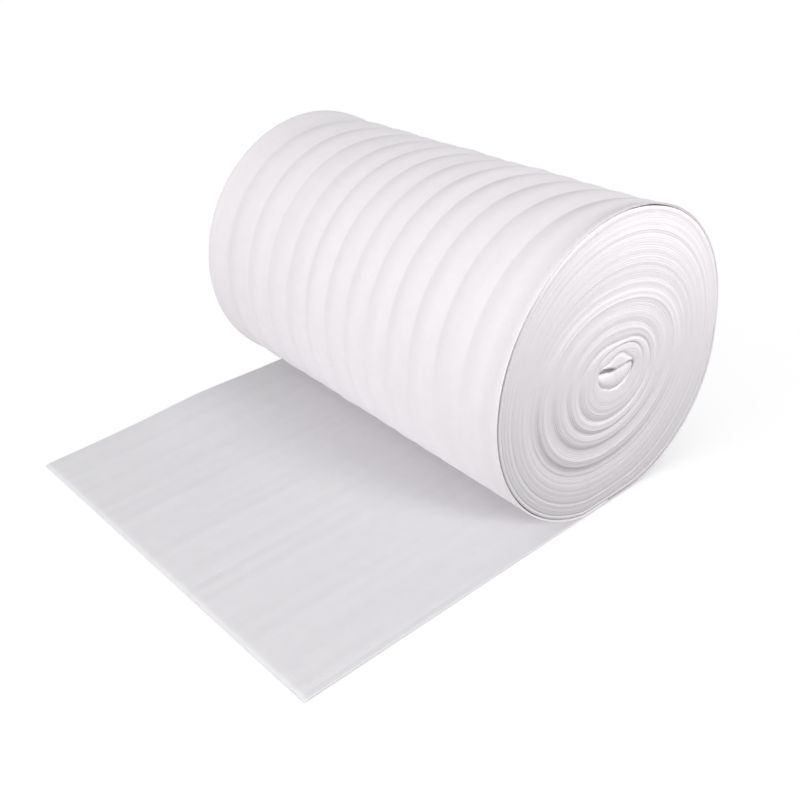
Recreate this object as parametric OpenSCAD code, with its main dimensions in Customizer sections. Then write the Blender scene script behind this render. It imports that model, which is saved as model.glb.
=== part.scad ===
// Roll of white foam wrap lying on its own laid-out end, in millimetres.
// The roll's axis runs along X, the loose end of the sheet lies towards -Y and the floor is Z = 0.

/* [Sheet] */
// Width of the foam sheet, which is also the length of the roll
sheet_width = 1050; // [700:10:1600]
// Thickness of one layer of the foam
sheet_thickness = 4; // [2:0.5:10]
// Length of the laid-out end, from below the roll's axis to the cut edge
tail_length = 872; // [450:10:2000]

/* [Roll] */
// Diameter at the fuller end, at +X
near_diameter = 718; // [560:2:900]
// Diameter at the slimmer end, at -X
far_diameter = 669; // [540:2:900]
// How far the soft roll sinks at its foot, which makes the flat spot
foot_sag = 6; // [2:0.5:10]
// Slack of the outer turn, which hangs off the roll at the back and below
back_slack = 58; // [30:2:90]
// How far the turns inside stand out past the outer turn at the +X end
end_step = 4; // [1:0.5:10]
// Rounding of the roll's two rims
rim_radius = 8; // [2:0.5:10]

/* [Bands] */
// Number of soft bands around the roll
band_count = 13; // [7:2:17]
// Depth of the hollows between the bands
band_depth = 3; // [1:0.25:5]

/* [Turns] */
// Layers of foam between one seam and the next on the roll's ends
layers_per_seam = 4; // [4:1:8]
// Depth of a plain seam
seam_depth = 6; // [2:0.5:12]
// Depth of the seams between groups of turns that have slipped apart
group_depth = 13; // [4:0.5:20]
// Width of a plain seam at the surface
seam_width = 6; // [2:0.5:7]
// Width of the seams between groups of turns
group_width = 9; // [8:0.5:11]

/* [Eye] */
// Width of the hollow that is left in the middle of the turns
eye_width = 124; // [90:2:130]
// Height of that hollow
eye_height = 82; // [60:2:88]
// Width of the folded start of the sheet, which hangs into the hollow
fold_width = 78; // [50:2:84]
// Height of that fold
fold_height = 40; // [24:2:44]

/* [Hidden] */
$fn = 96;

half_width = sheet_width / 2;
mean_radius = (near_diameter + far_diameter) / 4;
taper = (near_diameter - far_diameter) / 2 / sheet_width;   // growth of the radius along the axis
tilt = atan(taper);                                         // the cone lies on its side, so its axis tilts
axis_height = mean_radius * cos(tilt) - foot_sag;
axis_y = (tail_length - near_diameter / 2) / 2;             // centres the whole object on the origin
foot_shift = mean_radius * sin(tilt);                       // the foot lies this far from the axis' middle
slack_drop = back_slack - foot_sag / cos(tilt);             // straight stretch of the hanging outer turn
floor_trim = sheet_thickness / 4;
trim_reach = sqrt(2 * (mean_radius - back_slack) * floor_trim);

// Bands: hollow number i of the row, crowded in the middle of the roll and wider apart towards its ends
last_band = (band_count - 1) / 2;
band_bias = 0.031;                                          // the row sits a little towards +X
end_spread = 0.096;                                         // how much wider the bands get at the row's ends
row_reach = 0.45 * sheet_width;
function band_x(i) =
    let (s = i / last_band)
    band_bias * sheet_width + row_reach * ((1 - end_spread) * s + end_spread * pow(s, 3));
// Each band climbs gently from its hollow and drops steeply into the next: [share of the gap, height]
band_shape = [[0, 0], [0.25, 0.55], [0.55, 0.9], [0.8, 1]];
rim_steps = 4;

function cone_radius(x) = mean_radius + taper * x;
function band_points(inset) = [
    for (i = [-last_band : last_band - 1], p = band_shape)
        let (x = band_x(i) + p[0] * (band_x(i + 1) - band_x(i)))
        [cone_radius(x) - band_depth * (1 - p[1]) - inset, x]
];
function rim_points(side, inset) = [
    for (k = [0 : rim_steps])
        let (a = 90 * (side > 0 ? k : rim_steps - k) / rim_steps,
             x = side * (half_width - rim_radius * (1 - sin(a))))
        [cone_radius(x) - band_depth / 2 - rim_radius * (1 - cos(a)) - inset, x]
];
// Side of the roll from -X to +X as [radius, x], at a depth of inset below the outer face
function side_points(inset) = concat(
    rim_points(-1, inset),
    band_points(inset),
    [[cone_radius(band_x(last_band)) - band_depth - inset, band_x(last_band)]],
    rim_points(1, inset)
);
function reversed(list) = [for (i = [len(list) - 1 : -1 : 0]) list[i]];
function turn_section() = concat(side_points(0), reversed(side_points(sheet_thickness)));

// Stands a shape that is drawn around Z along X, with its own X towards +Y
module along_x() {
    rotate([90, 0, 90]) children();
}

// Carries the roll to its place, with its lowest line parallel to the floor
module seated() {
    translate([0, axis_y, axis_height]) rotate([0, -tilt, 0]) children();
}

// The last turn lies on the roll from its foot over the front and the top to the back
module outer_turn() {
    along_x() rotate_extrude(angle = 270) polygon(turn_section());
}

// From the back it hangs straight down, then curves in under the roll
module slack_turn() {
    translate([0, 0, -slack_drop]) linear_extrude(slack_drop)
        polygon([for (p = turn_section()) [p[1], p[0]]]);
    translate([0, back_slack, -slack_drop]) along_x() rotate_extrude(angle = 90, start = 270)
        polygon([for (p = turn_section()) [p[0] - back_slack, p[1]]]);
}

// The end of the sheet, flat on the floor
module laid_out_end() {
    translate([foot_shift - half_width, axis_y - tail_length, 0])
        cube([sheet_width, tail_length + back_slack + trim_reach, sheet_thickness]);
}

// Oval with round sides, in the plane across the roll
module oval(width, height) {
    flank = (width - height) / 2;
    for (s = [-1, 1]) translate([s * flank, 0]) circle(height / 2);
    square([2 * flank, height], center = true);
}

eye_sink = 5;                                               // the hollow lies this far below the axis
fold_rise = eye_height / 2 - eye_sink - fold_height / 4;    // the fold hangs from the top of the hollow

module eye_hollow() {
    translate([-sheet_width, 0, 0]) along_x() linear_extrude(2 * sheet_width) difference() {
        translate([0, -eye_sink]) oval(eye_width, eye_height);
        translate([0, fold_rise]) oval(fold_width, fold_height);
    }
}

// Seams between the turns, a spiral of half rings on two centres half a pitch apart
seam_pitch = layers_per_seam * sheet_thickness;
first_seam = eye_width / 2 + seam_pitch;
grouped_turns = 10;                                         // groups have slipped in these inner turns
function seam_form(i) =
    i < grouped_turns && i % 2 == 0 ? [group_width, group_depth] : [seam_width, seam_depth];
function seam_room(end_radius) =
    end_radius - band_depth - sheet_thickness / 2 - rim_radius - group_width / 2 - first_seam;
function seam_turns(end_radius) = floor(seam_room(end_radius) / seam_pitch);

// The seam is a plain V of form [width, depth], carried on past the surface so that it opens cleanly
module half_seam(radius, form, start) {
    flare = form[0] / 2 * (form[1] + end_step) / form[1];
    rotate_extrude(angle = 180, start = start)
        polygon([[radius - flare, end_step], [radius, -form[1]], [radius + flare, end_step]]);
}

module seam_spiral(end_radius) {
    for (i = [0 : seam_turns(end_radius) - 1]) {
        radius = first_seam + i * seam_pitch;
        half_seam(radius, seam_form(i), 0);
        translate([-seam_pitch / 2, 0, 0]) half_seam(radius + seam_pitch / 2, seam_form(i), 180);
    }
}

// The turns inside, as one solid with a seam spiral in each end
module inner_turns() {
    difference() {
        along_x() rotate_extrude()
            polygon(concat([[0, -half_width]], side_points(sheet_thickness / 2), [[0, half_width]]));
        translate([half_width, 0, 0]) along_x() seam_spiral(near_diameter / 2);
        translate([-half_width, 0, 0]) mirror([1, 0, 0]) along_x() seam_spiral(far_diameter / 2);
        eye_hollow();
    }
}

module floor_block() {
    reach = 2 * (sheet_width + near_diameter + far_diameter);
    translate([-reach / 2, -reach / 2, floor_trim - reach]) cube(reach);
}

module foam_roll() color("#f2eef2") {
    difference() {
        seated() {
            translate([end_step / 2, 0, 0]) inner_turns();
            translate([-end_step / 2, 0, 0]) {
                outer_turn();
                slack_turn();
            }
        }
        floor_block();
    }
    laid_out_end();
}

foam_roll();
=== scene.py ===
import math
import bpy
import numpy as np
from mathutils import Matrix, Vector


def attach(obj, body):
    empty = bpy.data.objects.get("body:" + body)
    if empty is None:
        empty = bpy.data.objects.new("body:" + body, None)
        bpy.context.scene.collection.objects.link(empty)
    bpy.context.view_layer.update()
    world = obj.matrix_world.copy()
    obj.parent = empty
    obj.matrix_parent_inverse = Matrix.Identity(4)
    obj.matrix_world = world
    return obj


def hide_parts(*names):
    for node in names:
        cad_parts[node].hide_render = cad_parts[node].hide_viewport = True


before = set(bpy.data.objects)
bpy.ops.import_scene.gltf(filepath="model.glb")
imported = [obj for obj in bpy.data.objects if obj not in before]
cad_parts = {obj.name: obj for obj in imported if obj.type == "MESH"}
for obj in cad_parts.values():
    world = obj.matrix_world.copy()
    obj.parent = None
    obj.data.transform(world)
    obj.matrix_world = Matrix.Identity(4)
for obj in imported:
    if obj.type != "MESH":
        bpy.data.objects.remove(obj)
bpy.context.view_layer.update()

# The sheet and the roll, in metres. The roll lies along X and its loose end runs towards -Y.
roll = {
    "width": 1.05,           # width of the sheet, so also the length of the roll
    "sheet": 0.004,          # thickness of one layer
    "nearRadius": 0.359,     # at the fuller end, +X
    "farRadius": 0.3345,     # at the slimmer end, -X
    "footSag": 0.006,        # how far the axis sinks below a round roll's
    "laidOut": 0.872,        # from below the axis to the cut edge
    "slack": 0.058,          # how far behind the axis the outer turn leaves the floor
    "seed": 11,
}
rng = np.random.default_rng(roll["seed"])
halfWidth = roll["width"] / 2
meanRadius = (roll["nearRadius"] + roll["farRadius"]) / 2
taper = (roll["nearRadius"] - roll["farRadius"]) / roll["width"]
tilt = math.atan(taper)
axisHeight = meanRadius * math.cos(tilt) - roll["footSag"]
axisY = (roll["laidOut"] - roll["nearRadius"]) / 2    # centres the whole object on the origin


def smoothStep(low, high, value):
    t = np.clip((value - low) / (high - low), 0, 1)
    return t * t * (3 - 2 * t)


def bump(value, centre, spread):
    return np.exp(-((value - centre) / spread) ** 2)


# Reads a soft curve at places from 0 to 1, with no corner at its knots
def alongKnots(knots, place):
    at = np.clip(place, 0, 1) * (len(knots) - 1)
    i = np.minimum(at.astype(int), len(knots) - 2)
    t = smoothStep(0, 1, at - i)
    return knots[i] * (1 - t) + knots[i + 1] * t


def radiusAt(x):
    return meanRadius + taper * x


def heightAt(x):
    return axisHeight + math.sin(tilt) * x


# A point at x along the roll and at y, z in the room, where the roll's ends lean with its axis
def placed(x, y, z):
    shifted = x * math.cos(tilt) - (z - axisHeight) * math.sin(tilt)
    return np.stack([shifted, axisY + y, z], -1)


def meshPiece(name, points, faces):
    mesh = bpy.data.meshes.new(name)
    mesh.from_pydata(points.tolist(), [], faces)
    mesh.validate()
    mesh.polygons.foreach_set("use_smooth", [True] * len(mesh.polygons))
    piece = bpy.data.objects.new(name, mesh)
    bpy.context.scene.collection.objects.link(piece)
    return piece


# Quads between loops of vertex numbers, each loop closed
def ringFaces(loops):
    faces = []
    for a, b in zip(loops[:-1], loops[1:]):
        for i in range(len(a)):
            k = (i + 1) % len(a)
            faces.append((a[i], a[k], b[k], b[i]))
    return faces


# The bands round the roll. Each rises from the crease at its -X side, then falls to the next one.
bands = {
    "count": 13,
    "depth": 0.0048,         # of the creases below the roll's plain side
    "uneven": (0.7, 1.15),   # how high single bands rise, from the lowest to the highest
    "reach": 0.45,           # of the width, from the middle of the row to its last crease
    "bias": 0.031,           # of the width, how far the row sits towards +X
    "spread": 0.096,         # how much wider the bands get towards the row's ends
    "overhang": (0.02, 0.03),    # how far the first and the last band would reach past the sides
    "rise": 0.5,             # share of a band in which it rises
    "climb": 1.5,            # how steeply it leaves the crease
    "fall": 1.5,             # how late it falls again
    "lean": 0.036,           # how far the creases swing towards +X over the top
    "leanAt": (45, 55),      # angle and spread of that in degrees
    "leanGrowth": 0.35,      # how much more they swing at the fuller end
    "settle": 0.012,         # how far they swing back down the front
    "settleAt": (165, 215),  # degrees between which they do
    "sideFade": 0.06,        # the bands die out over this distance from the sides
    "frontFade": 0.75,       # share of them that is lost at the front near the fuller end
    "frontAt": (150, 235),   # degrees, and metres along the roll, between which that share grows
    "frontAcross": (-0.15, 0.4),
    "footAt": (225, 262),    # degrees between which they die out towards the foot
    "plain": 0.8,            # share of the depth at the back and below
    "overTop": (1.5, 82, 22),    # and what comes on top: share, angle and spread in degrees
    "atFront": (1.1, 190, 30),
    # where the sheet has its columns across a band, closest at the crease
    "phases": (0, 0.03, 0.07, 0.12, 0.18, 0.25, 0.34, 0.46, 0.6, 0.74, 0.87, 0.96),
}
lastBand = (bands["count"] - 1) / 2


def creaseX(i):
    s = i / lastBand
    row = (1 - bands["spread"]) * s + bands["spread"] * s ** 3
    return roll["width"] * (bands["bias"] + bands["reach"] * row)


creases = np.array([creaseX(i - lastBand) for i in range(bands["count"])])
bandDepths = rng.uniform(*bands["uneven"], bands["count"] + 1)


# Height over the creases at x along the roll, as a share of the depth. It stays under 0.8.
def bandHeight(x):
    first, last = bands["overhang"]
    edges = np.concatenate([[-halfWidth - first], creases, [halfWidth + last]])
    i = np.clip(np.searchsorted(edges, x) - 1, 0, len(edges) - 2)
    p = (x - edges[i]) / (edges[i + 1] - edges[i])
    climb = 1 - (1 - np.clip(p / bands["rise"], 0, 1)) ** bands["climb"]
    return climb * (1 - p ** bands["fall"]) * bandDepths[i]


# How deep the bands are at an angle in degrees, which runs from the back over the top to the front
def crown(degrees):
    depth = bands["plain"]
    for share, angle, spread in (bands["overTop"], bands["atFront"]):
        depth = depth + share * bump(degrees, angle, spread)
    return depth


# The wound turns inside the outer one
turns = {
    "columns": 144,
    "perLayer": 4,           # points across the edge of one layer
    "eyeRadius": 0.0515,     # of the mean hollow, which sets how many layers there are
    "groove": 0.0003,        # depth between two layers
    "grooveRange": (0.35, 1.5),    # least and greatest share of that depth
    "layerEdge": (1.0, 0.3, 0.0, 0.3),    # share of that depth at the points across one layer
    "grooveFade": 0.7,       # share of the grooves that is lost where the layers meet the hollow
    "slip": 0.0008,          # how unevenly single layers stand
    "slipShare": 0.65,       # knots of that unevenness for each layer
    "slipRange": (0.25, 1),  # least and greatest share of it on the way round
    "slipKnots": 40,         # of that share
    "slipTurn": 0.37,        # how far round that share moves on with each turn
    "slackGap": 0.003,       # left between the turns and the slack outer one
    "slackSteps": 60,        # along the outline of that room
    "brow": 0.0020,          # how far the outermost layers stand out over the top
    "browFrom": 0.93,        # share of the radius at which that starts
    "dome": 0.007,           # how far the middle has slipped out past the rim
    "lowLeft": 240,          # degrees, where the valleys are deepest
    "barrelRows": 40,
    "barrelGap": 0.0006,     # between the side of the turns and the outer one
    "barrelEase": 0.05,      # share of its length in which the side sinks in from either end
    "slackFrom": 0.74,       # the layers outside this share spread out to the slack outer turn
    "squash": 4,             # how strongly the flat foot is kept to the outermost layers
}
layerCount = int((roll["nearRadius"] - roll["sheet"] - turns["eyeRadius"]) / roll["sheet"])
radialCount = turns["perLayer"] * layerCount + 1
slips = rng.uniform(-1, 1, int(layerCount * turns["slipShare"]))
slipShares = rng.uniform(*turns["slipRange"], turns["slipKnots"])
grooveDepths = rng.uniform(*turns["grooveRange"], layerCount * 2 + 8)

# Shape of the turns, as shares of the end's radius at the mean radii in the first row
ringShape = {
    "at": (0.144, 0.206, 0.285, 0.374, 0.478, 0.622, 0.8, 1.0),
    "sideways": (0.0, 0.006, -0.0175, -0.0375, -0.045, -0.038, -0.02, 0.0),
    "upward": (-0.02, -0.033, -0.068, -0.045, -0.05, -0.062, -0.03, 0.0),
    "oval": (0.02, 0.018, 0.0325, 0.028, 0.04, 0.045, 0.02, 0.0),
}
# Valleys between groups of turns: mean radius as a share, depth at the top and at the lower left,
# and the width of the inner and the outer slope as shares
valleys = (
    (0.952, 0.0002, 0.0010, 0.006, 0.006),
    (0.86, 0.0001, 0.0003, 0.012, 0.02),
    (0.735, 0.0002, 0.0003, 0.012, 0.03),
    (0.622, 0.0013, 0.0042, 0.036, 0.095),
    (0.478, 0.0004, 0.0028, 0.022, 0.052),
    (0.43, 0.0003, 0.0006, 0.010, 0.015),
    (0.374, 0.0004, 0.0013, 0.014, 0.022),
    (0.285, 0.0012, 0.0018, 0.014, 0.020),
    (0.245, 0.0004, 0.0006, 0.009, 0.012),
    (0.206, 0.0012, 0.0002, 0.010, 0.014),
)
# The hollow in the middle of the turns, and the folded start of the sheet that hangs into it
eye = {
    "centre": (-0.003, -0.014),
    "knee": 0.206,           # inside this share of the radius the layers bend to the hollow's outline
    # degrees round the hollow's own centre, then metres from it
    "outline": (
        (0, 0.057), (20, 0.056), (28, 0.048), (44, 0.0275), (75, 0.0205), (110, 0.0205), (134, 0.041),
        (142, 0.063), (162, 0.063), (182, 0.055), (216, 0.0375), (264, 0.0325), (303, 0.0365), (337, 0.0465),
        (360, 0.057),
    ),
    "rounding": ((-7, 0.25), (0, 0.5), (7, 0.25)),    # degrees and weights that round its corners
    "foldFrom": (0, 26),     # degrees over which the fold begins and ends
    "foldTo": (138, 160),
    "crease": (0.38, 0.42, 85, 55),    # share at its middle, growth, then middle and spread in degrees
    "creaseDepth": 0.0016,
    "creaseWidth": 0.08,
    "leafRise": (0.001, 0.0017),       # how far the fold stands out, evenly and under its crease
    "lipDrop": 0.0020,       # how far the layers beside the fold slope into the hollow
    "lipCurve": 1.4,
    "leafDrop": 0.0015,      # and how far the fold's own edge rounds off
    "leafEdge": 0.86,        # from where that starts
}


def eyeEdge(theta):
    angles, radii = zip(*eye["outline"])
    radius = 0
    for turn, weight in eye["rounding"]:
        radius = radius + weight * np.interp((np.degrees(theta) + turn) % 360, angles, radii)
    return eye["centre"][0] + radius * np.cos(theta), eye["centre"][1] + radius * np.sin(theta)


def ringOffset(share, way):
    return np.interp(share, ringShape["at"], ringShape[way])


# How far from the axis the slack outer turn leaves room for the turns inside, at the back and below
def slackRoom(theta, endRadius, height):
    half = roll["sheet"] / 2
    arcRadius = endRadius - half - roll["slack"]
    a = np.linspace(-math.pi / 2, 0, turns["slackSteps"])
    y = np.concatenate([[0], roll["slack"] + arcRadius * np.cos(a), [endRadius - half]])
    z = np.concatenate([[half], half + arcRadius + arcRadius * np.sin(a), [height]]) - height
    angle = np.degrees(np.arctan2(z, y)) % 360
    angle[-1] = 360
    room = np.interp(np.degrees(theta) % 360, angle, np.hypot(y, z)) - half - turns["slackGap"]
    return np.maximum(room, endRadius - roll["sheet"])


# Where the winding lies across the roll, from the middle of the axis. 0 is the outermost turn. It also gives
# the share of the end's radius, how far the layer has bent to the hollow (q, 0 to 1), and the room under the
# outer turn.
def turnPlace(winding, theta, endRadius, height):
    outer = (endRadius - roll["sheet"]) / endRadius
    inner = turns["eyeRadius"] / roll["nearRadius"]
    share = outer + (inner - outer) * winding / layerCount
    ring = np.maximum(share, eye["knee"])
    r = ring + ringOffset(ring, "sideways") * np.cos(theta)
    r = r + ringOffset(ring, "upward") * np.sin(theta)
    r = r + ringOffset(ring, "oval") * np.cos(2 * theta)
    room = slackRoom(theta, endRadius, height)
    stretch = smoothStep(turns["slackFrom"], 1.0, share) ** 1.5
    r = r * (1 + (room / (endRadius - roll["sheet"]) - 1) * stretch)
    y, z = r * endRadius * np.cos(theta), r * endRadius * np.sin(theta)
    eyeY, eyeZ = eyeEdge(theta)
    q = np.clip((eye["knee"] - share) / (eye["knee"] - inner), 0, 1)
    y, z = y + (eyeY - y) * q, z + (eyeZ - z) * q
    return y, z, share, q, room


# Squeezes the foot of the turns so that their outermost one lies at height rest on the floor
def flattened(y, z, x, radius, rest):
    lowest = heightAt(x) - rest
    theta = np.arctan2(z, y)
    reach = np.hypot(y, z)
    limit = lowest / np.maximum(-np.sin(theta), 1e-3)
    spare = np.where(np.sin(theta) < 0, np.clip(1 - limit / radius, 0, 1), 0)
    k = 1 - spare * np.clip(reach / radius, 0, 1) ** turns["squash"]
    return y * k, z * k


# The folded start of the sheet hangs into the hollow from the top, as a leaf under a curled crease
def foldRelief(q, degrees):
    fold = smoothStep(*eye["foldFrom"], degrees) * (1 - smoothStep(*eye["foldTo"], degrees))
    share, growth, middle, spread = eye["crease"]
    crease = share + growth * ((degrees - middle) / spread) ** 2
    leaf = np.clip((q - crease) / np.maximum(1 - crease, 0.05), 0, 1)
    even, under = eye["leafRise"]
    relief = fold * (even * q + under * leaf - eye["creaseDepth"] * bump(q, crease, eye["creaseWidth"]))
    relief -= (1 - fold) * eye["lipDrop"] * q ** eye["lipCurve"]
    return relief - eye["leafDrop"] * fold * smoothStep(eye["leafEdge"], 1.0, q) ** 2


# How far the layers have slipped towards +X, in metres. It shows in both ends, so it makes the fuller one a
# shallow dome and the other one a shallow dish.
def endRelief(share, q, winding, theta, profile):
    degrees = np.degrees(theta) % 360
    lowLeft = (1 + np.cos(theta - math.radians(turns["lowLeft"]))) / 2
    relief = turns["dome"] * (1 - share ** 2)
    for at, topDepth, lowDepth, inner, outer in valleys:
        width = np.where(share < at, inner, outer)
        relief -= (topDepth + (lowDepth - topDepth) * lowLeft) * bump(share, at, width)
    over = ((1 + np.sin(theta)) / 2) ** 2
    relief += turns["brow"] * over * smoothStep(turns["browFrom"], 1.0, share) ** 1.5
    uneven = alongKnots(slipShares, (degrees / 360 + winding * turns["slipTurn"]) % 1)
    relief += turns["slip"] * uneven * alongKnots(slips, winding / (layerCount + 2))
    deep = turns["groove"] * alongKnots(grooveDepths, winding / (layerCount + 2))
    across = np.array(turns["layerEdge"])[profile]
    relief -= deep * across * (1 - turns["grooveFade"] * smoothStep(0.1, 0.5, q))
    return relief + foldRelief(q, degrees)


# Points of one end of the wound turns as columns by radial steps
def endGrid(side):
    endRadius = float(radiusAt(side * halfWidth))
    height = float(heightAt(side * halfWidth))
    j, m = np.meshgrid(np.arange(turns["columns"]), np.arange(radialCount), indexing="ij")
    winding = m / turns["perLayer"] + j / turns["columns"]
    theta = np.radians(270) + 2 * math.pi * j / turns["columns"]
    y, z, share, q, room = turnPlace(winding, theta, endRadius, height)
    relief = endRelief(share, q, winding, theta, m % turns["perLayer"])
    x = side * halfWidth + relief
    y, z = flattened(y, z, x, room, 2 * roll["sheet"])
    return placed(x, y, heightAt(x) + z)


# Walls of the hollow between its two mouths. Just behind each mouth a soft fold of foam nearly closes it, up
# against the leaf.
hollow = {
    # depth in metres, the shares of the mouth's width and height, and how far the floor bulges out
    "stops": (
        (0.0010, 1.015, 1.02, 0.0), (0.0024, 1.02, 1.03, 0.0), (0.0032, 0.995, 0.99, 0.0004),
        (0.0036, 0.97, 0.93, 0.0016), (0.0038, 0.94, 0.85, 0.0030), (0.0039, 0.92, 0.76, 0.0038),
        (0.0040, 0.90, 0.65, 0.0041), (0.0041, 0.88, 0.53, 0.0037), (0.0043, 0.87, 0.41, 0.0030),
        (0.0048, 0.86, 0.30, 0.0022), (0.0060, 0.85, 0.20, 0.0014), (0.012, 0.84, 0.13, 0.0),
        (0.05, 0.83, 0.12, 0.0), (0.09, 0.82, 0.35, 0.0), (0.14, 0.80, 0.62, 0.0), (0.22, 0.80, 0.78, 0.0),
        (0.32, 0.80, 0.80, 0.0), (0.42, 0.80, 0.80, 0.0),
    ),
    "pivot": 0.022,          # above the hollow's own centre, where its height closes to
    "floor": (-0.004, -0.022),    # the bulge takes in what lies this far below the pivot, from none to all
}


# One loop of the hollow's walls between the loops at its two mouths
def hollowLoop(a, b, x, width, height, bulge):
    t = (halfWidth - x) / roll["width"]
    loop = a + (b - a) * t
    middleY, middleZ = eye["centre"]
    pivot = np.array([axisY + middleY, float(heightAt(x)) + middleZ + hollow["pivot"]])
    away = loop[:, 1:] - pivot
    loop[:, 0] += math.copysign(bulge, x) * smoothStep(*hollow["floor"], away[:, 1])
    loop[:, 1:] = pivot + away * (width, height)
    return loop


# A loop of the turns' side under the outer one, a share t of the way from the fuller end's rim to the other
def barrelLoop(a, b, t):
    ring = a + (b - a) * t
    away = ring - np.array([0, axisY, float(heightAt(halfWidth * (1 - 2 * t)))])
    away[:, 0] = 0
    around = np.degrees(np.arctan2(away[:, 2], away[:, 1])) % 360
    ease = min(1, t / turns["barrelEase"], (1 - t) / turns["barrelEase"])
    depth = turns["barrelGap"] + bands["depth"] * crown(around) * ease
    return ring - away / np.linalg.norm(away, axis=1)[:, None] * depth[:, None]


def woundTurns():
    columns, per = turns["columns"], turns["perLayer"]
    points = [endGrid(1).reshape(-1, 3), endGrid(-1).reshape(-1, 3)]
    size = columns * radialCount
    total = 2 * size

    # past the last column a layer goes on as the next one inwards
    def number(j, m, base):
        return base + (j * radialCount + m if j < columns else m + per)

    # adds loops between the same loop of both ends, and gives the faces between them all
    def wall(ends, middle):
        nonlocal total
        chain = [ends]
        for loop in middle:
            points.append(loop)
            chain.append(list(range(total, total + len(ends))))
            total += len(ends)
        chain.append([k + size for k in ends])
        return ringFaces(chain)

    faces = []
    for base, flip in ((0, True), (size, False)):
        for j in range(columns):
            last = radialCount - 1 if j < columns - 1 else radialCount - 1 - per
            for m in range(last):
                corners = ((j, m), (j, m + 1), (j + 1, m + 1), (j + 1, m))
                quad = [number(*corner, base) for corner in corners]
                faces.append(quad[::-1] if flip else quad)
    rim = [j * radialCount for j in range(columns)] + list(range(per, 0, -1))
    mouth = [(j + 1) * radialCount - 1 for j in range(columns)]
    mouth += [columns * radialCount - k for k in range(2, 2 + per)]
    rows = turns["barrelRows"]
    a, b = points[0][rim], points[1][rim]
    faces += [q[::-1] for q in wall(rim, [barrelLoop(a, b, r / rows) for r in range(1, rows)])]
    a, b = points[0][mouth], points[1][mouth]
    stops = [(halfWidth - depth, *shape) for depth, *shape in hollow["stops"]]
    stops += [(-x, *shape) for x, *shape in stops[::-1]]
    faces += wall(mouth, [hollowLoop(a, b, *stop) for stop in stops])
    return meshPiece("wound_turns", np.concatenate(points), faces)


# The outer turn, its slack and the laid-out end, as one sheet
outerSheet = {
    "floorRows": 78,
    "slackRows": 22,
    "dropRows": 4,
    "turnRows": 100,
    "farColumns": (0.004, 0.009),             # how far from the side at -X, besides those of the bands
    "nearColumns": (0.002, 0.004, 0.009),     # and from the side at +X
    "columnGap": 0.0006,     # columns that are closer than this are one
    "edge": 0.0013,          # rounding of the cut edges
    "edgeOut": 0.85,         # share of half the thickness at which the outer turn's edge is widest
    "cutEnd": 0.5,           # share of the thickness that is left at the very end of the sheet
    "rim": 0.0005,           # how far the sides of the outer turn curl inwards
    "rimWidth": 0.007,
    "proud": 0.0018,         # how far the outer turn's outer face reaches past the laid-out end's faces
    "bevel": 0.0014,         # how much its inner face falls short of that
    "lift": 0.009,           # of the far edge beside the roll
    "liftAt": (-0.42, 0.16),         # where along the sheet, and its spread
    "liftAcross": (-0.3, -0.525),    # from none to all of it
    "waves": ((0.0006, 61, 0), (0.0005, 97, 1.3)),    # height, radians for each metre across, start
    "wavesFrom": (-0.28, -0.5),
    "singleShadeFade": (-0.02, 0.3),      # where on its way up the sheet loses the darker colour of one lone layer, which is partly painted shade
}


def sheetColumns():
    edges = np.concatenate([[-halfWidth], creases, [halfWidth]])
    first, last = -halfWidth + outerSheet["edge"], halfWidth - outerSheet["edge"]
    xs = [first, last]
    xs += [-halfWidth + inset for inset in outerSheet["farColumns"]]
    xs += [halfWidth - inset for inset in outerSheet["nearColumns"]]
    for a, b in zip(edges[:-1], edges[1:]):
        xs += [a + phase * (b - a) for phase in bands["phases"]]
    xs = sorted(set(round(float(v), 5) for v in xs if first <= v <= last))
    kept = [xs[0]]
    for v in xs[1:]:
        if v - kept[-1] > outerSheet["columnGap"]:
            kept.append(v)
    kept[-1] = last
    return np.array(kept)


# The middle of the sheet from its cut end to the foot, as rows of y, z, the way out of the roll in y and z,
# how far it has left the floor (0 to 1), and how far round it has come, in degrees from the back over the top
def sheetPath(x):
    half = roll["sheet"] / 2
    radius = float(radiusAt(x)) - half
    height = float(heightAt(x))
    slackRadius = radius - roll["slack"]
    stretches = []

    def add(*rows):
        stretches.append(np.stack(np.broadcast_arrays(*rows)))

    add(np.linspace(-roll["laidOut"], roll["slack"], outerSheet["floorRows"]), half, 0, -1, 0, 0)
    a = np.radians(np.linspace(-90, 0, outerSheet["slackRows"] + 1)[1:])
    y = roll["slack"] + slackRadius * np.cos(a)
    z = half + slackRadius + slackRadius * np.sin(a)
    add(y, z, np.cos(a), np.sin(a), np.linspace(0, 1, len(a) + 1)[1:], 0)
    drop = np.linspace(half + slackRadius, height, outerSheet["dropRows"] + 1)[1:]
    add(radius, drop, 1, 0, 1, 0)
    degrees = np.linspace(0, 270, outerSheet["turnRows"] + 1)[1:]
    a = np.radians(degrees)
    y, z = flattened(radius * np.cos(a), radius * np.sin(a), x, radius, roll["sheet"] + half)
    add(y, height + z, np.cos(a), np.sin(a), 1, degrees)
    return np.concatenate(stretches, 1)


# The bands are full over the top and soften at the front near the fuller end
def bandFade(x, risen, degrees):
    front = smoothStep(*bands["frontAt"], degrees) * smoothStep(*bands["frontAcross"], x)
    foot = smoothStep(*bands["footAt"], degrees)
    side = smoothStep(0, bands["sideFade"], halfWidth - abs(x))
    return smoothStep(0, 1, risen) * side * crown(degrees) * (1 - bands["frontFade"] * front) * (1 - foot)


# How far a point of the outer turn moves along the roll, so that the creases swing as they go round
def creaseSwing(x, risen, degrees):
    inside = 1 - abs(x / halfWidth) ** 6
    swing = bands["lean"] * bump(degrees, *bands["leanAt"]) * (1 + bands["leanGrowth"] * x / halfWidth)
    swing -= bands["settle"] * smoothStep(*bands["settleAt"], degrees)
    return inside * smoothStep(0.9, 1, risen) * swing


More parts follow.
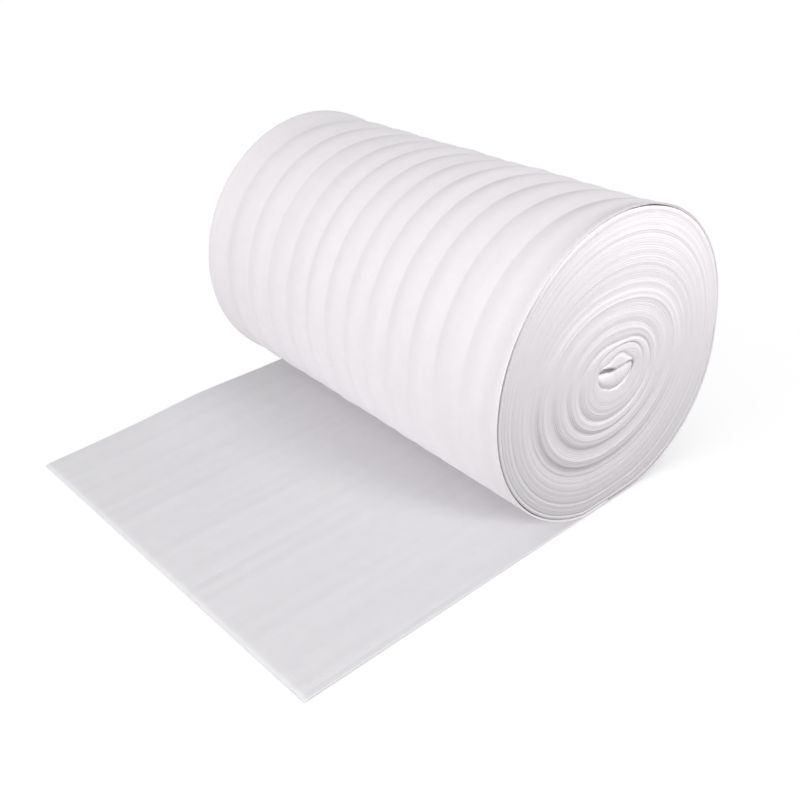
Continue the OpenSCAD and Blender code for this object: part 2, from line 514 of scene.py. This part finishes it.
# The laid-out end has a lift beside the roll at the far side, and faint waves along its length
def floorRise(x, y):
    lift = outerSheet["lift"] * bump(y, *outerSheet["liftAt"]) * smoothStep(*outerSheet["liftAcross"], x)
    wave = sum(height * math.sin(x * turn + start) for height, turn, start in outerSheet["waves"])
    return lift + abs(wave) * smoothStep(*outerSheet["wavesFrom"], y)


# One line along the middle of the sheet: x, y, z, the way out of the roll, and how far it counts as wound
def sheetLine(x):
    y, z, outY, outZ, risen, degrees = sheetPath(x)
    wound = smoothStep(0, 1, risen)
    sink = bands["depth"] * (bandHeight(x) - 1) * bandFade(x, risen, degrees)
    curl = np.clip(1 - (halfWidth - abs(x)) / outerSheet["rimWidth"], 0, 1) ** 2.2
    sink -= outerSheet["rim"] * curl * wound
    onFloor = 1 - smoothStep(0, 0.02, risen)
    z = z + outZ * sink + onFloor * floorRise(x, y)
    seat = x * (1 + outerSheet["proud"] / halfWidth * wound)
    return np.stack([seat + creaseSwing(x, risen, degrees), y + outY * sink, z, outY, outZ, wound], -1)


def outerTurn():
    grid = np.stack([sheetLine(x) for x in sheetColumns()], 1)    # rows along the sheet, columns across it
    along, across = grid.shape[:2]
    x, y, z, outY, outZ, wound = np.moveaxis(grid, -1, 0)
    half = np.full(along, roll["sheet"] / 2)
    half[0] *= outerSheet["cutEnd"]
    riseY, riseZ = outY * half[:, None], outZ * half[:, None]
    outerFace = placed(x, y + riseY, z + riseZ)
    short = x * (1 - outerSheet["bevel"] / halfWidth * wound)
    innerFace = placed(short, y - riseY, z - riseZ)
    sides = []
    for column, sign in ((0, -1), (across - 1, 1)):
        share = wound[:, column]
        at = sign * (halfWidth + (outerSheet["proud"] - outerSheet["edge"]) * share)
        out = outerSheet["edgeOut"] * roll["sheet"] / 2 * share
        sideY = y[:, column] + outY[:, column] * out
        sideZ = z[:, column] + outZ[:, column] * out
        sides.append(placed(at, sideY, sideZ)[:, None])
    ring = np.concatenate([outerFace, sides[1], innerFace[:, ::-1], sides[0]], 1)
    count = ring.shape[1]
    loops = [list(range(r * count, (r + 1) * count)) for r in range(along)]
    faces = [face[::-1] for face in ringFaces(loops)]
    # the cut end, and the same faces turned round at the foot
    cap = [(c, c + 1, count - 3 - c, count - 2 - c) for c in range(across - 1)]
    cap += [(across - 1, across, across + 1), (count - 2, count - 1, 0)]
    faces += cap
    faces += [[k + (along - 1) * count for k in face[::-1]] for face in cap]
    piece = meshPiece("outer_turn_and_laid_out_end", ring.reshape(-1, 3), faces)
    middle = grid[:, across // 2]
    # Marks where the sheet lies as one layer, for its darker colour, which is partly painted shade
    singleLayerShade = 1 - smoothStep(*outerSheet["singleShadeFade"], np.repeat(middle[:, 5], count))
    layer = piece.data.attributes.new("single_layer_shade", "FLOAT", "POINT")
    layer.data.foreach_set("value", singleLayerShade.astype(np.float32))
    length = float(np.hypot(np.diff(middle[:, 1]), np.diff(middle[:, 2])).sum())
    return piece, length


# An sRGB hex colour as the linear values that a shader takes
def linear(colour):
    parts = [int(colour[i:i + 2], 16) / 255 for i in (1, 3, 5)]
    return [c / 12.92 if c <= 0.04045 else ((c + 0.055) / 1.055) ** 2.4 for c in parts] + [1]


def addNode(tree, kind, settings=None, links=None):
    node = tree.nodes.new(kind)
    for key, value in (settings or {}).items():
        if hasattr(node, key) and key not in node.inputs:
            setattr(node, key, value)
        else:
            node.inputs[key].default_value = value
    for key, source in (links or {}).items():
        tree.links.new(source, node.inputs[key])
    return node


def newMaterial(name):
    material = bpy.data.materials.new(name)
    material.use_nodes = True
    material.node_tree.nodes.clear()
    return material, material.node_tree


foamLook = {
    "base": "#f6f2f5",
    "singleLayerShade": "#e4e3e5",     # darker where one layer lies by itself: partly the thin sheet letting light through, partly painted shade for the dimmer light on the flat laid-out end
    "cellMm": 3,             # real cells are near 1 mm, and are drawn coarser so that they show
    "cellShade": 0.982,      # the least share of the colour that a cell keeps
    "mottleMm": 28,          # patches where the foam came out a little denser
    "mottleShade": 0.975,
    "streakMm": 35,          # across the streaks that the extruder leaves along the sheet
    "streakLengthMm": 833.33,
    "streakShade": 0.965,
    "skinMm": 0.7,           # how far the cells raise the skin
    "skinStrength": 0.35,
    "lightDepthMm": 4,       # how far light gets into the foam, which is one layer
    "lightShare": 0.35,
    "roughness": 0.62,
    "ior": 1.5,              # polyethylene's
}


# Closed-cell polyethylene foam, extruded and left bare. It is matt and lets some light in, so its edges look
# soft. The extruder leaves a skin of fine cells, with faint streaks along the sheet.
def extrudedPolyethyleneFoam():
    material, tree = newMaterial("extruded_polyethylene_foam")
    place = addNode(tree, "ShaderNodeTexCoord").outputs["Object"]
    cells = addNode(tree, "ShaderNodeTexNoise", {
        "Scale": 1000 / foamLook["cellMm"], "Detail": 2.0, "Roughness": 0.6,
    }, {"Vector": place})
    mottle = addNode(tree, "ShaderNodeTexNoise", {
        "Scale": 1000 / foamLook["mottleMm"], "Detail": 3.0, "Roughness": 0.55,
    }, {"Vector": place})
    lengthwise = 1000 / foamLook["streakLengthMm"]
    along = addNode(tree, "ShaderNodeMapping", {
        "Scale": (1000 / foamLook["streakMm"], lengthwise, lengthwise),
    }, {"Vector": place})
    streak = addNode(tree, "ShaderNodeTexNoise", {
        "Scale": 1.0, "Detail": 2.0, "Roughness": 0.5,
    }, {"Vector": along.outputs["Vector"]})
    # The laid-out sheet, one layer thick, takes a darker colour: partly the thin sheet letting light through,
    # partly painted shade for the dimmer light it gets
    alone = addNode(tree, "ShaderNodeAttribute", {"attribute_name": "single_layer_shade"})
    base = addNode(tree, "ShaderNodeMix", {"data_type": "RGBA"}, {"Factor": alone.outputs["Fac"]})
    base.inputs["A"].default_value = linear(foamLook["base"])
    base.inputs["B"].default_value = linear(foamLook["singleLayerShade"])
    colour = base.outputs["Result"]
    for name, source in (("cell", cells), ("mottle", mottle), ("streak", streak)):
        shade = addNode(tree, "ShaderNodeMapRange", {
            "From Min": 0.3, "From Max": 0.7, "To Min": foamLook[name + "Shade"], "To Max": 1.0,
        }, {"Value": source.outputs["Fac"]})
        tint = addNode(tree, "ShaderNodeVectorMath", {"operation": "SCALE"}, {
            0: colour, "Scale": shade.outputs["Result"],
        })
        colour = tint.outputs[0]
    skin = addNode(tree, "ShaderNodeBump", {
        "Strength": foamLook["skinStrength"], "Distance": foamLook["skinMm"] / 1000,
    }, {"Height": cells.outputs["Fac"]})
    shader = addNode(tree, "ShaderNodeBsdfPrincipled", {
        "Roughness": foamLook["roughness"],
        "IOR": foamLook["ior"],
        "Subsurface Weight": foamLook["lightShare"],
        "Subsurface Radius": (1.0, 1.0, 1.0),
        "Subsurface Scale": foamLook["lightDepthMm"] / 1000,
    }, {"Base Color": colour, "Normal": skin.outputs["Normal"]})
    addNode(tree, "ShaderNodeOutputMaterial", None, {"Surface": shader.outputs["BSDF"]})
    return material


# What lights the scene, in watts and metres, each softbox aimed at the middle of what it lights
studio = {
    "sky": 0.535,
    "skyColour": "#fbfafd",
    "floorSize": 14,                 # from the middle to each side
    "floorDrop": 0.0005,             # below the sheet, so that the two don't meet
    "floorBounce": "#949494",        # the floor as the foam sees it
    "floorSeen": "#f2f2f2",          # and as the camera sees it, lifted to white by a glow
    "floorGlow": 0.55,
    "keyFrom": (0.6, -4.5, 1.5), "keySize": 2.4, "keyPower": 118,
    "sideFrom": (6.5, 0.26, 3.2), "sideSize": 1.8, "sidePower": 240,
    "backFrom": (0.0, 4.7, 2.5), "backSize": 2.4, "backPower": 25,
    "endFrom": (1.475, 0.80, 1.79), "endSize": 0.7, "endPower": 30,
    "farFrom": (-1.8, 0.9, 1.9), "farSize": 1.0, "farPower": 32,
}


# Whether a ray is one through which the camera sees the surroundings, plainly, mirrored or through something
def seenRay(tree):
    path = addNode(tree, "ShaderNodeLightPath").outputs
    seen = path["Is Camera Ray"]
    for kind in ("Is Glossy Ray", "Is Transmission Ray"):
        seen = addNode(tree, "ShaderNodeMath", {"operation": "MAXIMUM"}, {0: seen, 1: path[kind]}).outputs[0]
    return seen


# A matt studio floor. It keeps the object's shadow, and the camera sees the rest of it as white.
def mattFloorPaint():
    material, tree = newMaterial("matt_floor_paint")
    bounce = addNode(tree, "ShaderNodeBsdfDiffuse", {"Color": linear(studio["floorBounce"])})
    seen = addNode(tree, "ShaderNodeBsdfDiffuse", {"Color": linear(studio["floorSeen"])})
    glow = addNode(tree, "ShaderNodeEmission", {"Color": linear("#ffffff"), "Strength": studio["floorGlow"]})
    lifted = addNode(tree, "ShaderNodeAddShader", None, {0: seen.outputs[0], 1: glow.outputs[0]})
    mix = addNode(tree, "ShaderNodeMixShader", None, {
        0: seenRay(tree), 1: bounce.outputs[0], 2: lifted.outputs[0],
    })
    addNode(tree, "ShaderNodeOutputMaterial", None, {"Surface": mix.outputs[0]})
    return material


def studioFloor():
    size, z = studio["floorSize"], -studio["floorDrop"]
    points = np.array([(-size, -size, z), (size, -size, z), (size, size, z), (-size, size, z)])
    floor = meshPiece("studio_floor", points, [(0, 1, 2, 3)])
    floor.data.materials.append(mattFloorPaint())


# A square softbox that lights one piece alone, as a studio's flags and grids would make it
def addSoftbox(name, aim, lit):
    data = bpy.data.lights.new(name + "_softbox", "AREA")
    data.shape = "SQUARE"
    data.size = studio[name + "Size"]
    data.energy = studio[name + "Power"]
    lamp = bpy.data.objects.new(data.name, data)
    place = Vector(studio[name + "From"])
    lamp.location = place
    lamp.rotation_mode = "QUATERNION"
    lamp.rotation_quaternion = (Vector(aim) - place).to_track_quat("-Z", "Y")
    lamp.visible_camera = False
    bpy.context.scene.collection.objects.link(lamp)
    group = bpy.data.collections.new(name + "_lit")
    group.objects.link(lit)
    lamp.light_linking.receiver_collection = group


def studioLight(wound, outer):
    world = bpy.data.worlds.new("studio")
    bpy.context.scene.world = world
    world.use_nodes = True
    tree = world.node_tree
    tree.nodes.clear()
    skyColour = linear(studio["skyColour"])
    sky = addNode(tree, "ShaderNodeBackground", {"Color": skyColour, "Strength": studio["sky"]})
    seen = addNode(tree, "ShaderNodeBackground", {"Color": linear("#ffffff"), "Strength": 1.0})
    mix = addNode(tree, "ShaderNodeMixShader", None, {
        0: seenRay(tree), 1: sky.outputs[0], 2: seen.outputs[0],
    })
    addNode(tree, "ShaderNodeOutputWorld", None, {"Surface": mix.outputs[0]})
    middle = (0, axisY, axisHeight)
    addSoftbox("key", middle, outer)
    addSoftbox("side", middle, outer)
    addSoftbox("back", middle, outer)
    addSoftbox("end", (halfWidth, axisY, axisHeight), wound)
    addSoftbox("far", (-halfWidth, axisY, axisHeight), wound)


# The camera stands where the photograph was taken from, in metres from the floor below the middle of the axis
photoCamera = {
    "place": (1.8065, -1.6714, 1.6241),
    "heading": 50.068,       # degrees, as the next two
    "pitch": 32.802,
    "roll": -2.660,
    "lens": 51.35,           # mm
    "sensor": 36,            # mm wide
}


def photoView():
    heading, pitch, turn = (math.radians(photoCamera[key]) for key in ("heading", "pitch", "roll"))
    level = math.cos(pitch)
    back = Vector((math.sin(heading) * level, -math.cos(heading) * level, math.sin(pitch)))
    right = Vector((math.cos(heading), math.sin(heading), 0))
    up = back.cross(right)
    leanRight = right * math.cos(turn) + up * math.sin(turn)
    leanUp = up * math.cos(turn) - right * math.sin(turn)
    data = bpy.data.cameras.new("photo_camera")
    data.sensor_width = photoCamera["sensor"]
    data.lens = photoCamera["lens"]
    camera = bpy.data.objects.new("photo_camera", data)
    bpy.context.scene.collection.objects.link(camera)
    place = Vector(photoCamera["place"]) + Vector((0, axisY, 0))
    facing = Matrix((leanRight, leanUp, back)).transposed().to_4x4()
    camera.matrix_world = Matrix.Translation(place) @ facing
    bpy.context.scene.camera = camera


photoView()
print("camera set")
foam = extrudedPolyethyleneFoam()
wound = woundTurns()
print("wound turns:", layerCount, "layers")
outer, outerLength = outerTurn()
print("outer turn and laid-out end:", round(outerLength, 3), "m long")
for piece in (wound, outer):
    piece.data.materials.append(foam)
    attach(piece, "root")
    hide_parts("foam_roll")
studioFloor()
studioLight(wound, outer)
bpy.context.scene.view_settings.view_transform = "Standard"
print("floor and light set")
